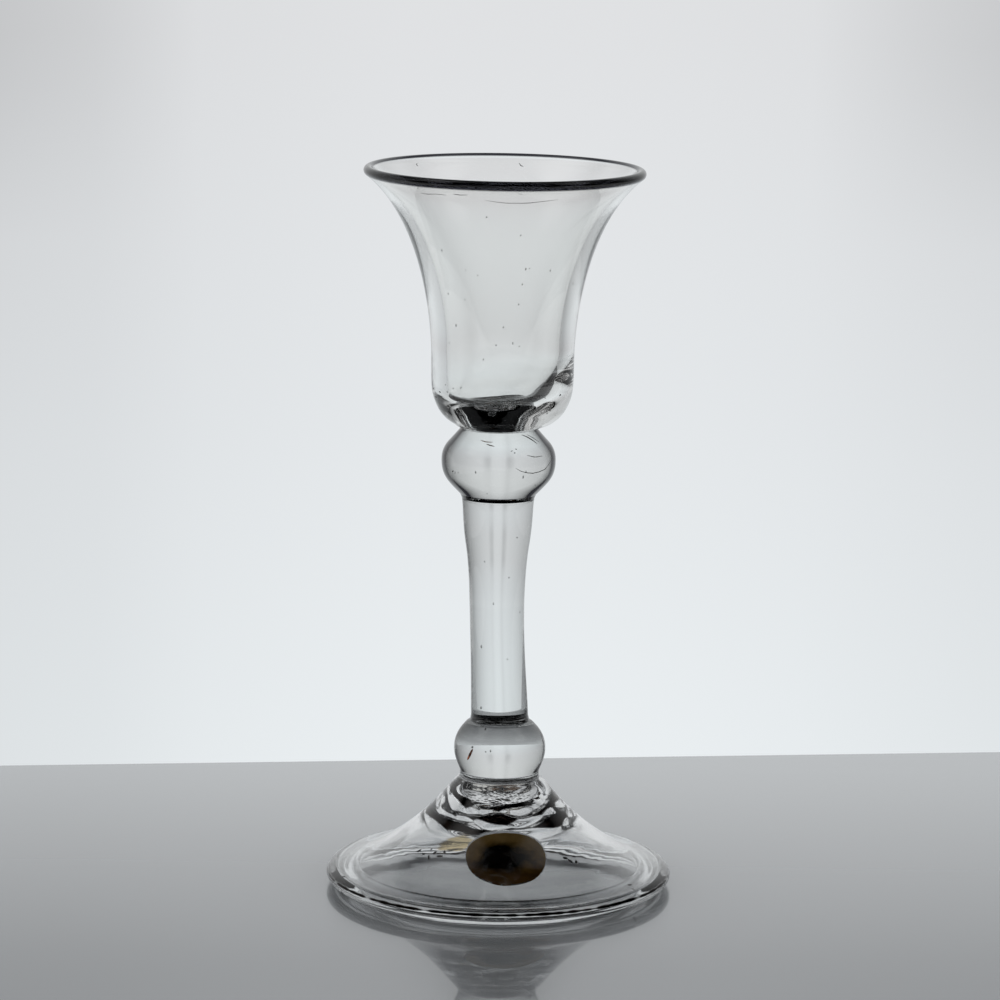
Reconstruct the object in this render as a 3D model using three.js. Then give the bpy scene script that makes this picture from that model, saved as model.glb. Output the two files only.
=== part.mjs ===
// Stemmed drinking glass: a thick bell bowl on a stem with two knops and a conical foot whose edge is folded
// back underneath. Millimetres, +Z up, origin on the table under the middle of the foot.
// Each hot-worked gather of glass is its own piece, and the gathers meet at flat joints in the necks.

import * as THREE from "three";
import { mergeVertices } from "three/addons/utils/BufferGeometryUtils.js";

// Facets round the axis, and how far a facet may lie from the true curve of an outline
const facetsRound = 48;
const facetTolerance = 0.04;

// Foot
const footRadius = 33.5;
const footHeight = 21.8;
const footNeckRadius = 7.67;
const neckFilletRadius = 8.45;
const neckFilletDrop = 1.05;
const coneRadius = 13.05;
const coneHeight = 15.5;
const edgeThickness = 4;
const edgeBellyHeight = 2.3;
const edgeShoulderInset = 2.1;
const restRingRadius = 30.6;
const restRingWidth = 1.2;

// Fold under the edge of the foot: a flap of the same sheet with a thin open gap above it
const foldWidth = 6.7;
const foldGap = 0.3;
const foldRoofHeight = 2.5;
const foldBendInset = 2.3;
const foldSlope = 14;
const flapTipRadius = 0.75;

// Crown of the foot, and the scar where the working rod was snapped off under it
const crownThickness = 5.8;
const scarRadius = 5.6;
const scarDepth = 1.4;

// Base knop, between the foot and the stem
const baseKnopRadius = 8.93;
const baseKnopHeight = 10.62;
const baseKnopBellyHeight = 5.4;
const collarRadius = 7.72;
const collarHeight = 0.9;
const baseKnopShoulderRadius = 7.5;
const baseKnopShoulderDrop = 1.35;

// Stem
const stemLength = 43.58;
const stemFootRadius = 5.82;
const stemAnkleRadius = 5.57;
const stemAnkleHeight = 1.1;
const stemWaistRadius = 5.31;
const stemWaistHeight = 16;
const stemFlareRadius = 6.72;
const stemFlareDrop = 1.6;
const stemTopRadius = 7.02;

// Upper knop, between the stem and the bowl
const upperKnopRadius = 11.08;
const upperKnopHeight = 13.9;
const upperKnopBellyHeight = 7.6;
const upperCreaseRadius = 7.47;
const upperCreaseHeight = 1.1;
const upperShoulderRadius = 9.8;
const upperShoulderDrop = 2.83;

// Bowl
const bowlNeckRadius = 7.3;
const bowlHeight = 49.9;
const bowlBaseRadius = 10.2;
const bowlBaseRise = 1.6;
const bowlShoulderRadius = 12.2;
const bowlShoulderHeight = 3.85;
const bowlWaistRadius = 13.76;
const bowlWaistHeight = 13.6;
const lipRadius = 26.85;
const lipThickness = 1.5;
const lipSlope = 38;
const wallThickness = 2.8;
const cavityWaistHeight = 16;
const cavityCornerRadius = 9.75;
const cavityCornerHeight = 7.7;
const floorEdgeRadius = 7.6;
const floorEdgeHeight = 5.5;
const floorThickness = 3.2;
const floorShift = 1.3;

// Hand-made unevenness: the stem drifts to one side, the bowl sits a little off the knop, the lip dips
const stemDrift = 0.85;
const driftRise = 30;
const bowlShift = 0.42;
const lipDip = 0.3;

// Sticker on the underside of the foot
const stickerWidth = 14.6;
const stickerLength = 13;
const stickerThickness = 0.25;
const stickerClearance = 0.3;
const stickerRadius = 16.6;
const stickerTurn = 5;

// Heights of the joints above the table
const stemHeight = footHeight + baseKnopHeight;
const upperKnopBase = stemHeight + stemLength;
const bowlBase = upperKnopBase + upperKnopHeight;
const totalHeight = bowlBase + bowlHeight;

const smallest = 1e-6;

function glassMaterial(color) {
  return new THREE.MeshStandardMaterial({ color, roughness: 0.05, metalness: 0, transparent: true, opacity: 0.35 });
}

// Direction of travel at an angle in degrees, 0 away from the axis and 90 up
function heading(angle) {
  const turn = THREE.MathUtils.degToRad(angle);
  return new THREE.Vector2(Math.cos(turn), Math.sin(turn));
}

// A smooth stretch of outline that leaves start and reaches end at the given headings.
// The pulls are shares of the straight distance between the two points.
function stretch(start, startAngle, startPull, end, endAngle, endPull) {
  const span = start.distanceTo(end);
  const first = start.clone().addScaledVector(heading(startAngle), startPull * span);
  const second = end.clone().addScaledVector(heading(endAngle), -endPull * span);
  return new THREE.CubicBezierCurve(start, first, second, end);
}

// How many straight steps keep a curve within the facet tolerance, from its length and its whole turn
function stepsAlong(curve) {
  const samples = 24;
  let turn = 0;
  for (let sample = 1; sample <= samples; sample++) {
    const before = curve.getTangent((sample - 1) / samples);
    turn += before.angleTo(curve.getTangent(sample / samples));
  }
  return Math.max(1, Math.ceil(Math.sqrt((curve.getLength() * turn) / (8 * facetTolerance))));
}

// Joins curves into one outline and drops points that repeat the one before
function outline(curves) {
  const points = [];
  for (const curve of curves) {
    for (const point of curve.getPoints(stepsAlong(curve))) {
      const last = points[points.length - 1];
      if (!last || last.distanceTo(point) > smallest) {
        points.push(point);
      }
    }
  }
  return points;
}

function line(start, end) {
  return new THREE.LineCurve(start, end);
}

function at(radius, height) {
  return new THREE.Vector2(radius, height);
}

// Sideways place of the glass at a height above the table
function drift(height) {
  const driftStart = footHeight + baseKnopBellyHeight;
  const along = THREE.MathUtils.smoothstep(height, driftStart, driftStart + driftRise);
  const back = THREE.MathUtils.smoothstep(height, bowlBase, bowlBase + bowlShoulderHeight);
  return bowlShift * back - stemDrift * along;
}

// Revolves an outline about the upright axis and gives it the unevenness of its height above the table
function revolve(points, baseHeight) {
  const geometry = new THREE.LatheGeometry(points, facetsRound);
  geometry.rotateX(Math.PI / 2);
  const positions = geometry.attributes.position;
  for (let i = 0; i < positions.count; i++) {
    const height = positions.getZ(i) + baseHeight;
    const dip = lipDip * THREE.MathUtils.smoothstep(height, bowlBase, totalHeight);
    const side = positions.getX(i) / (2 * lipRadius);
    positions.setX(i, positions.getX(i) + drift(height));
    positions.setZ(i, positions.getZ(i) - dip * side);
  }
  return geometry;
}

function closedMesh(name, geometry, material, baseHeight) {
  geometry.deleteAttribute("normal");
  geometry.deleteAttribute("uv");
  const merged = mergeVertices(geometry, smallest);
  merged.computeVertexNormals();
  const mesh = new THREE.Mesh(merged, material);
  mesh.name = name;
  mesh.position.z = baseHeight;
  return mesh;
}

// Underside of the foot, from the seat of the scar out to the closed end of the fold's gap
function undersideCurve() {
  const seat = at(scarRadius, footHeight - crownThickness);
  const bend = at(footRadius - foldBendInset, foldRoofHeight);
  return stretch(seat, -22, 0.32, bend, -foldSlope, 0.42);
}

function makeFoot() {
  const underside = undersideCurve();
  const seatHeight = footHeight - crownThickness;
  const bendRoof = underside.v3;
  const bendFloor = at(bendRoof.x, bendRoof.y - foldGap);
  const tipStart = footRadius - foldWidth + flapTipRadius;
  const flapRise = (bendFloor.x - tipStart) * Math.tan(THREE.MathUtils.degToRad(foldSlope));
  const tipTop = at(tipStart, bendFloor.y + flapRise);
  const tipCentre = tipTop.clone().addScaledVector(heading(90 - foldSlope), -flapTipRadius);
  const tipFrom = THREE.MathUtils.degToRad(90 - foldSlope);
  const flapTip = new THREE.EllipseCurve(
    tipCentre.x, tipCentre.y, flapTipRadius, flapTipRadius, tipFrom, tipFrom + Math.PI, false, 0
  );
  const tipBottom = flapTip.getPoint(1);
  const ringInner = at(restRingRadius - restRingWidth, 0);
  const ringOuter = at(restRingRadius, 0);
  const belly = at(footRadius, edgeBellyHeight);
  const shoulder = at(footRadius - edgeShoulderInset, edgeThickness);
  const cone = at(coneRadius, coneHeight);
  const fillet = at(neckFilletRadius, footHeight - neckFilletDrop);
  const neck = at(footNeckRadius, footHeight);
  const points = outline([
    line(at(0, seatHeight), underside.v0),
    underside,
    line(bendRoof, bendFloor),
    line(bendFloor, tipTop),
    flapTip,
    stretch(tipBottom, -foldSlope, 0.3, ringInner, -30, 0.3),
    line(ringInner, ringOuter),
    stretch(ringOuter, 20, 0.3, belly, 90, 0.35),
    stretch(belly, 90, 0.25, shoulder, 166, 0.5),
    stretch(shoulder, 166, 0.36, cone, 134, 0.3),
    stretch(cone, 134, 0.3, fillet, 131, 0.3),
    stretch(fillet, 131, 0.45, neck, 91, 0.45),
    line(neck, at(0, footHeight)),
  ]);
  return closedMesh("foot", revolve(points, 0), glassMaterial(0xd9dcda), 0);
}

// Rough lump that the working rod left under the crown of the foot, flat where it joins
function makeScar() {
  const brokenRim = at(0.86 * scarRadius, -0.7 * scarDepth);
  const points = outline([
    stretch(at(0, -scarDepth), 0, 0.3, brokenRim, 25, 0.3),
    line(brokenRim, at(scarRadius, 0)),
    line(at(scarRadius, 0), at(0, 0)),
  ]);
  const geometry = new THREE.LatheGeometry(points, facetsRound / 2);
  geometry.rotateX(Math.PI / 2);
  const positions = geometry.attributes.position;
  for (let i = 0; i < positions.count; i++) {
    const x = positions.getX(i);
    const y = positions.getY(i);
    const turn = Math.atan2(y, x);
    const reach = Math.hypot(x, y) / scarRadius;
    const ragged = 0.95 + 0.03 * Math.sin(3 * turn + 1) + 0.02 * Math.sin(7 * turn);
    const torn = 1 + reach * (0.2 * Math.sin(2 * turn + 0.6) + 0.16 * Math.sin(5 * turn));
    positions.setXYZ(i, x * ragged, y * ragged, positions.getZ(i) * torn);
  }
  return closedMesh("pontil_mark", geometry, glassMaterial(0xc9ccc8), footHeight - crownThickness);
}

function makeBaseKnop() {
  const collar = at(collarRadius, collarHeight);
  const belly = at(baseKnopRadius, baseKnopBellyHeight);
  const shoulder = at(baseKnopShoulderRadius, baseKnopHeight - baseKnopShoulderDrop);
  const crease = at(stemFootRadius, baseKnopHeight);
  const points = outline([
    line(at(0, 0), at(footNeckRadius, 0)),
    stretch(at(footNeckRadius, 0), 91, 0.3, collar, 70, 0.3),
    stretch(collar, 69, 0.3, belly, 90, 0.4),
    stretch(belly, 90, 0.45, shoulder, 131, 0.3),
    stretch(shoulder, 131, 0.3, crease, 152, 0.3),
    line(crease, at(0, baseKnopHeight)),
  ]);
  return closedMesh("base_knop", revolve(points, footHeight), glassMaterial(0xd5d9d6), footHeight);
}

function makeStem() {
  const ankle = at(stemAnkleRadius, stemAnkleHeight);
  const waist = at(stemWaistRadius, stemWaistHeight);
  const flare = at(stemFlareRadius, stemLength - stemFlareDrop);
  const top = at(stemTopRadius, stemLength);
  const points = outline([
    line(at(0, 0), at(stemFootRadius, 0)),
    stretch(at(stemFootRadius, 0), 118, 0.3, ankle, 91, 0.3),
    stretch(ankle, 91, 0.3, waist, 90, 0.4),
    stretch(waist, 90, 0.5, flare, 84, 0.2),
    stretch(flare, 82, 0.3, top, 74, 0.3),
    line(top, at(0, stemLength)),
  ]);
  return closedMesh("stem", revolve(points, stemHeight), glassMaterial(0xdde0de), stemHeight);
}

function makeUpperKnop() {
  const crease = at(upperCreaseRadius, upperCreaseHeight);
  const belly = at(upperKnopRadius, upperKnopBellyHeight);
  const shoulder = at(upperShoulderRadius, upperKnopHeight - upperShoulderDrop);
  const neck = at(bowlNeckRadius, upperKnopHeight);
  const points = outline([
    line(at(0, 0), at(stemTopRadius, 0)),
    stretch(at(stemTopRadius, 0), 73, 0.3, crease, 62, 0.3),
    stretch(crease, 46, 0.45, belly, 90, 0.42),
    stretch(belly, 90, 0.4, shoulder, 131, 0.35),
    stretch(shoulder, 133, 0.3, neck, 131, 0.3),
    line(neck, at(0, upperKnopHeight)),
  ]);
  return closedMesh("upper_knop", revolve(points, upperKnopBase), glassMaterial(0xd5d9d6), upperKnopBase);
}

// Bell bowl: a solid base, a thick wall that thins upwards, and a flared, fire-rounded lip
function makeBowl() {
  const lipRound = lipThickness / 2;
  const lipCentre = at(lipRadius - lipRound, bowlHeight - lipRound);
  const neck = at(bowlNeckRadius, 0);
  const base = at(bowlBaseRadius, bowlBaseRise);
  const shoulder = at(bowlShoulderRadius, bowlShoulderHeight);
  const waist = at(bowlWaistRadius, bowlWaistHeight);
  const lipFrom = THREE.MathUtils.degToRad(lipSlope - 90);
  const lip = new THREE.EllipseCurve(
    lipCentre.x, lipCentre.y, lipRound, lipRound, lipFrom, lipFrom + Math.PI, false, 0
  );
  const cavityWaist = at(bowlWaistRadius - wallThickness, cavityWaistHeight);
  const corner = at(cavityCornerRadius, cavityCornerHeight);
  const floorEdge = at(floorEdgeRadius, floorEdgeHeight);
  const floor = at(0, floorThickness);
  const outside = outline([
    line(at(0, 0), neck),
    stretch(neck, 14, 0.3, base, 37, 0.3),
    stretch(base, 38, 0.32, shoulder, 63, 0.32),
    stretch(shoulder, 63, 0.3, waist, 90, 0.6),
    stretch(waist, 89, 0.29, lip.getPoint(0), lipSlope, 0.33),
    lip,
  ]);
  const inside = outline([
    stretch(lip.getPoint(1), lipSlope + 185, 0.38, cavityWaist, 269, 0.25),
    stretch(cavityWaist, 269, 0.5, corner, 252, 0.3),
    stretch(corner, 250, 0.4, floorEdge, 212, 0.35),
    stretch(floorEdge, 205, 0.4, floor, 180, 0.4),
  ]);
  const points = [...outside, ...inside.slice(1)];
  const geometry = revolve(points, bowlBase);
  shiftFloor(geometry, outside.length, points.length);
  return closedMesh("bowl", geometry, glassMaterial(0xe3e6e5), bowlBase);
}

// Moves the bottom of the cavity to one side, as the blown bubble sat off centre in its gather
function shiftFloor(geometry, firstInside, outlineLength) {
  const positions = geometry.attributes.position;
  for (let i = 0; i < positions.count; i++) {
    if (i % outlineLength >= firstInside) {
      const low = 1 - THREE.MathUtils.smoothstep(positions.getZ(i), floorThickness, cavityWaistHeight);
      positions.setX(i, positions.getX(i) - floorShift * low ** 1.6);
    }
  }
}

// Place on the underside of the foot at a radius, and the direction away from the glass there
function undersideAt(radius) {
  const underside = undersideCurve();
  const seatHeight = footHeight - crownThickness;
  let low = 0;
  let high = 1;
  for (let step = 0; step < 40; step++) {
    const middle = (low + high) / 2;
    if (underside.getPoint(middle).x < radius) {
      low = middle;
    } else {
      high = middle;
    }
  }
  const along = underside.getTangent(low);
  const place = underside.getPoint(low);
  return { height: Math.min(place.y, seatHeight), out: at(along.y, -along.x) };
}

// Oval sticker, a thin puck rolled round the hollow cone as flat paper would be, just clear of the glass
function makeSticker() {
  const rings = 4;
  const points = [at(0, 0)];
  for (let ring = 1; ring <= rings; ring++) {
    points.push(at(ring / rings, 0));
  }
  for (let ring = rings; ring >= 0; ring--) {
    points.push(at(ring / rings, 1));
  }
  const geometry = new THREE.LatheGeometry(points, 32);
  const positions = geometry.attributes.position;
  const flatness = -undersideAt(stickerRadius).out.y;
  const fromApex = stickerRadius / flatness;
  for (let i = 0; i < positions.count; i++) {
    const across = positions.getX(i) * stickerWidth / 2;
    const down = fromApex - positions.getZ(i) * stickerLength / 2;
    const radius = Math.hypot(across, down) * flatness;
    const { height, out } = undersideAt(radius);
    const lift = stickerClearance + stickerThickness * positions.getY(i);
    const reach = radius + out.x * lift;
    const turn = THREE.MathUtils.degToRad(stickerTurn - 90) + Math.atan2(across, down) / flatness;
    positions.setXYZ(i, reach * Math.cos(turn), reach * Math.sin(turn), height + out.y * lift);
  }
  const paper = new THREE.MeshStandardMaterial({ color: 0x4b3c25, roughness: 0.7, metalness: 0 });
  return closedMesh("sticker", geometry, paper, 0);
}

const glass = new THREE.Group();
glass.add(
  makeFoot(),
  makeScar(),
  makeBaseKnop(),
  makeStem(),
  makeUpperKnop(),
  makeBowl(),
  makeSticker()
);

export default glass;
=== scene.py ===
import math
import bpy
import numpy as np
from mathutils import Matrix, Vector


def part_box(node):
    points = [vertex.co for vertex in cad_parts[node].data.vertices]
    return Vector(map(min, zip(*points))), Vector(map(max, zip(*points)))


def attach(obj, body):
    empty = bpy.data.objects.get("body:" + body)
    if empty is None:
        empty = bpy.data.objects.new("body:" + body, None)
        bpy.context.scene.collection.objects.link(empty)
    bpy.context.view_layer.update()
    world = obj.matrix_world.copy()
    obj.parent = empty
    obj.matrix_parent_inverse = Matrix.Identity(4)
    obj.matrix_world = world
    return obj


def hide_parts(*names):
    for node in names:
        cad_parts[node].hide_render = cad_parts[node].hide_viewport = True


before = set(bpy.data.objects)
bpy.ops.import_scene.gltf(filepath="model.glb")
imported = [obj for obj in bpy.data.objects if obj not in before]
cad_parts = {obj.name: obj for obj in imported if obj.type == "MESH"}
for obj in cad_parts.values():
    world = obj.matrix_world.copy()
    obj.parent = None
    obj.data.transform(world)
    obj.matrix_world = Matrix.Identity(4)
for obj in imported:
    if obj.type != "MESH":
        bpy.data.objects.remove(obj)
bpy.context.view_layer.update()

mm = 0.001

# Joint heights and outer sizes come from the frame
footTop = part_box("foot")[1].z
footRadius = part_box("foot")[1].x
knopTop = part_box("base_knop")[1].z
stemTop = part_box("stem")[1].z
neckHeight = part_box("upper_knop")[1].z
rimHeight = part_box("bowl")[1].z


# Camera, at the photograph's height, distance and tilt

cameraView = {
    "distance": 784 * mm,
    "height": 222 * mm,
    "side": -0.51 * mm,
    "tiltDown": 10.57,
    "roll": 0.7,
    "lens": 149.6,
    "sensor": 36,
    "clip": (0.01, 50),
}


def makeCamera():
    data = bpy.data.cameras.new("photoCamera")
    data.lens = cameraView["lens"]
    data.sensor_width = cameraView["sensor"]
    data.clip_start, data.clip_end = cameraView["clip"]
    camera = bpy.data.objects.new("photoCamera", data)
    tilt = Matrix.Rotation(math.radians(90 - cameraView["tiltDown"]), 4, "X")
    roll = Matrix.Rotation(math.radians(cameraView["roll"]), 4, "Z")
    place = Matrix.Translation((cameraView["side"], -cameraView["distance"], cameraView["height"]))
    camera.matrix_world = place @ tilt @ roll
    bpy.context.scene.collection.objects.link(camera)
    bpy.context.scene.camera = camera


makeCamera()
print("camera placed")


# Outlines are arrays of (radius, height) points, listed with the glass on their left

onLine = 0.02 * mm  # a point this close to an outline lies on it


def heading(angle):
    # direction of travel, 0 away from the axis and 90 up
    turn = math.radians(angle)
    return np.array([math.cos(turn), math.sin(turn)])


def stretch(start, startAngle, startPull, end, endAngle, endPull, steps):
    # cubic Bezier: leaves start and reaches end at the given headings, handles are shares of the distance
    start, end = np.array(start), np.array(end)
    span = np.linalg.norm(end - start)
    first = start + heading(startAngle) * startPull * span
    second = end - heading(endAngle) * endPull * span
    t = np.linspace(0, 1, steps + 1)[:, None]
    rest = 1 - t
    return rest**3 * start + 3 * t * rest**2 * first + 3 * t * t * rest * second + t**3 * end


def arc(centre, radius, fromAngle, toAngle, steps):
    # round stretch: the centre plus the radius turned from one angle to the other
    turn = np.radians(np.linspace(fromAngle, toAngle, steps + 1))
    return np.array(centre) + radius * np.stack([np.cos(turn), np.sin(turn)], 1)


def straight(start, end, steps):
    # even steps from one point to the other
    t = np.linspace(0, 1, steps + 1)[:, None]
    return np.array(start) * (1 - t) + np.array(end) * t


def outline(*parts):
    # parts end to end, without the points that stand twice where they meet
    points = np.concatenate(parts)
    keep = np.ones(len(points), bool)
    keep[1:] = np.linalg.norm(np.diff(points, axis=0), axis=1) > 1e-7
    return points[keep]


def eased(points, reach, spacing):
    # walks the outline in equal steps and averages each point with its neighbours within reach,
    # so that creases get a fillet
    along = np.concatenate([[0], np.cumsum(np.linalg.norm(np.diff(points, axis=0), axis=1))])
    count = int(along[-1] / spacing)
    even = np.linspace(0, along[-1], count + 1)
    walked = np.stack([np.interp(even, along, points[:, k]) for k in (0, 1)], 1)
    width = int(4 * reach / spacing)
    weights = np.exp(-0.5 * (np.arange(-width, width + 1) * spacing / reach) ** 2)
    weights /= weights.sum()
    head = 2 * walked[0] - walked[width:0:-1]
    tail = 2 * walked[-1] - walked[-2:-width - 2:-1]
    padded = np.concatenate([head, walked, tail])
    return np.stack([np.convolve(padded[:, k], weights, "valid") for k in (0, 1)], 1)


def smoothStep(value, low, high):
    # 0 up to low, 1 from high on, and 3t^2 - 2t^3 between them
    t = np.clip((value - low) / (high - low), 0, 1)
    return t * t * (3 - 2 * t)


# Hand-made unevenness, shared by all the pieces so that they meet exactly
uneven = {
    "stemDrift": 0.85 * mm,
    "driftFrom": 27.1 * mm,
    "driftTo": 57.1 * mm,
    "bowlShift": 0.52 * mm,
    "shiftRise": 1.1 * mm,
    "lipDip": 0.3 * mm,
    "oval": 0.05 * mm,
    "ovalFrom": 6 * mm,
    "secondWave": 0.6,
    "wavesIn": 1.6,
}


def place(radius, height, turn):
    # turns (radius, height, angle) into a point: pulled in and out of round by two slow waves, then shifted
    # sideways with height
    oval = uneven["oval"] * np.minimum(1, radius / uneven["ovalFrom"])
    first = np.sin(2 * turn + 0.9 + height * 40)
    second = uneven["secondWave"] * np.sin(3 * turn + 2.1 - height * 55)
    radius = radius + oval * (first + second - uneven["wavesIn"])
    drift = -uneven["stemDrift"] * smoothStep(height, uneven["driftFrom"], uneven["driftTo"])
    drift = drift + uneven["bowlShift"] * smoothStep(height, neckHeight, neckHeight + uneven["shiftRise"])
    x = radius * np.cos(turn)
    y = radius * np.sin(turn)
    dip = uneven["lipDip"] * smoothStep(height, neckHeight, rimHeight) * x / (2 * bowlShape["lipRadius"])
    return np.stack([x + drift, y, height - dip], -1)


def closedMesh(name, grid, firstFlat, lastFlat, bubbles=()):
    # grid of rings joined by quads, with a fan of triangles to the middle of each end ring, and bubbles
    # inside; a flat end is where two gathers are fused, and has the second material
    rows, columns = grid.shape[:2]
    vertices = [grid.reshape(-1, 3), grid[[0, -1]].mean(1)]
    row = np.arange(rows - 1)[:, None] * columns
    around = np.arange(columns)
    onward = (around + 1) % columns
    above = row + columns
    quads = np.stack([row + around, row + onward, above + onward, above + around], -1).reshape(-1, 4)
    lastRow, firstTip = (rows - 1) * columns, rows * columns
    firstFan = np.stack([around, np.full(columns, firstTip), onward], 1)
    lastFan = np.stack([lastRow + around, lastRow + onward, np.full(columns, firstTip + 1)], 1)
    triangles = [firstFan, lastFan]
    slots = [np.zeros(len(quads) + 2 * columns)]
    base = firstTip + 2
    for points, faces, slot in bubbles:
        vertices.append(points)
        triangles.append(faces + base)
        slots.append(np.full(len(faces), slot))
        base += len(points)
    vertices = np.concatenate(vertices)
    triangles = np.concatenate(triangles)
    corners = np.concatenate([quads.ravel(), triangles.ravel()])
    mesh = bpy.data.meshes.new(name)
    mesh.vertices.add(len(vertices))
    mesh.vertices.foreach_set("co", vertices.astype(np.float32).ravel())
    mesh.loops.add(len(corners))
    mesh.loops.foreach_set("vertex_index", corners.astype(np.int32))
    starts = np.concatenate([np.arange(len(quads)) * 4, quads.size + np.arange(len(triangles)) * 3])
    mesh.polygons.add(len(starts))
    mesh.polygons.foreach_set("loop_start", starts.astype(np.int32))
    flat = np.zeros(len(starts), bool)
    flat[len(quads):len(quads) + columns] = firstFlat
    flat[len(quads) + columns:len(quads) + 2 * columns] = lastFlat
    mesh.polygons.foreach_set("use_smooth", ~flat)
    mesh.polygons.foreach_set("material_index", (np.concatenate(slots) + flat).astype(np.int32))
    mesh.update(calc_edges=True)
    mesh.validate()
    return mesh


def fullTurn(steps):
    # angles once round, in a row
    return np.linspace(0, 2 * math.pi, steps, endpoint=False)[None, :]


def carriedRound(profile, columns):
    # every point of a profile at every angle: radius, height and angle
    return np.repeat(profile[:, :1], columns, 1), np.repeat(profile[:, 1:], columns, 1), fullTurn(columns)


def revolved(name, profile, columns, firstFlat, lastFlat, relief=None, bubbles=()):
    # a profile carried round the axis, with the piece's own relief added to every point
    radius, height, turn = carriedRound(profile, columns)
    grid = place(radius, height, turn)
    if relief is not None:
        grid = grid + relief(radius, height, turn)
    return closedMesh(name, grid, firstFlat, lastFlat, bubbles)


# Flaws inside the glass, each given as its points, its faces and the slot of its material

def tubeFaces(rings, sides):
    # triangles between rings of points, with the two end points listed last, facing outwards
    around = np.arange(sides)
    onward = (around + 1) % sides
    last, tip = (rings - 1) * sides, rings * sides
    faces = []
    for row in range(0, last, sides):
        above = row + sides
        faces.append(np.stack([row + around, row + onward, above + onward], 1))
        faces.append(np.stack([row + around, above + onward, above + around], 1))
    faces.append(np.stack([np.full(sides, tip), onward, around], 1))
    faces.append(np.stack([np.full(sides, tip + 1), last + around, last + onward], 1))
    return np.concatenate(faces)


def speck(spot, stretchBy, lean, slot):
    # a small ellipsoid of eight sides at (x, y, z) with a size, all in mm; its rings run downwards, so that
    # the faces turn inwards as listed: right for air, which has slot 0, and turned round for a stone
    polar = np.linspace(0, math.pi, 5)[1:-1, None]
    turn = fullTurn(8)
    out, up = np.sin(polar), np.cos(polar)
    ring = np.stack([out * np.cos(turn), out * np.sin(turn), up + 0 * turn], -1)
    points = np.concatenate([ring.reshape(-1, 3), [[0, 0, 1], [0, 0, -1]]])
    points = points * np.array(stretchBy) * (spot[3] * mm)
    tip = math.radians(lean)
    tilt = [[math.cos(tip), 0, -math.sin(tip)], [0, 1, 0], [math.sin(tip), 0, math.cos(tip)]]
    faces = tubeFaces(3, 8)
    return points @ np.array(tilt) + np.array(spot[:3]) * mm, faces[:, ::-1] if slot else faces, slot


def airSeeds(spots):
    # some are drawn out upwards
    return [speck(spot, (1, 1, 1 + 0.5 * (k % 3)), 0, 0) for k, spot in enumerate(spots)]


def stones(spots, slot):
    # flat chips, each turned another way
    return [speck(spot, (1.3, 0.6, 0.4 + 0.3 * (k % 2)), 55 * k - 30, slot) for k, spot in enumerate(spots)]


def hair(thickness, spots, slot):
    # a thin tube of five sides along a line, thinner towards both ends
    line = np.array(spots) * mm
    steps = np.linspace(0, 1, 4 * len(line))
    line = np.stack([np.interp(steps, np.linspace(0, 1, len(line)), line[:, k]) for k in range(3)], 1)
    along = np.gradient(line, axis=0)
    along = along / np.linalg.norm(along, axis=1)[:, None]
    across = np.cross(along, (0.3, 0.2, 0.93))
    across = across / np.linalg.norm(across, axis=1)[:, None]
    upward = np.cross(along, across)
    turn = fullTurn(5)[..., None]
    size = thickness * mm * np.sqrt(1 - 0.9 * (2 * steps - 1) ** 2)
    ring = across[:, None] * np.cos(turn) + upward[:, None] * np.sin(turn)
    ring = line[:, None] + size[:, None, None] * ring
    ends = [line[:1] - along[:1] * size[0], line[-1:] + along[-1:] * size[-1]]
    return np.concatenate([ring.reshape(-1, 3), *ends]), tubeFaces(len(line), 5), slot


def hairs(lines, slot):
    return [hair(thickness, spots, slot) for thickness, spots in lines]


def addPiece(name, mesh, node, materials):
    piece = bpy.data.objects.new(name, mesh)
    bpy.context.scene.collection.objects.link(piece)
    for material in materials:
        mesh.materials.append(material)
    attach(piece, "root")
    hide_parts(node)


# Nodes shared by the materials

def feed(tree, target, value):
    # a socket gets linked, and a number, vector or colour is set
    if isinstance(value, bpy.types.NodeSocket):
        tree.links.new(value, target)
    else:
        target.default_value = value


def addNode(tree, kind, given=None, **settings):
    # a node with its settings, and its inputs fed with what is given
    node = tree.nodes.new("ShaderNode" + kind)
    for name, value in settings.items():
        setattr(node, name, value)
    for name, value in (given or {}).items():
        feed(tree, node.inputs[name], value)
    return node


def objectPoint(tree):
    return addNode(tree, "TexCoord").outputs["Object"]


def axisOf(tree, vector, axis):
    return addNode(tree, "SeparateXYZ", {"Vector": vector}).outputs[axis]


def storedMark(tree, name):
    return addNode(tree, "Attribute", attribute_name=name).outputs["Fac"]


def maths(tree, operation, *values):
    return addNode(tree, "Math", dict(enumerate(values)), operation=operation).outputs[0]


def spread(tree, value, low, high, start=0.0):
    # start at low and 1 at high, held beyond them
    given = {"Value": value, "From Min": low, "From Max": high, "To Min": start}
    return addNode(tree, "MapRange", given).outputs["Result"]


def noise(tree, vector, scale, detail=2.0):
    return addNode(tree, "TexNoise", {"Vector": vector, "Scale": scale, "Detail": detail}).outputs["Fac"]


def bumped(tree, height, distance, strength=1.0):
    given = {"Height": height, "Distance": distance, "Strength": strength}
    return addNode(tree, "Bump", given).outputs["Normal"]


def mixTones(tree, kind, amount, first, second):
    given = {"Factor": amount, 6: first, 7: second}
    return addNode(tree, "Mix", given, data_type="RGBA", blend_type=kind).outputs[2]


def toneRamp(tree, value, stops, low=0, high=1):
    # tones at places between low and high, each a colour or one number for a grey
    node = addNode(tree, "ValToRGB", {"Fac": value})
    elements = node.color_ramp.elements
    while len(elements) < len(stops):
        elements.new(0.5)
    for element, (spot, tone) in zip(elements, stops):
        element.position = (spot - low) / (high - low)
        element.color = (*tone, 1) if isinstance(tone, tuple) else (tone, tone, tone, 1)
    return node.outputs["Color"]


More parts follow.
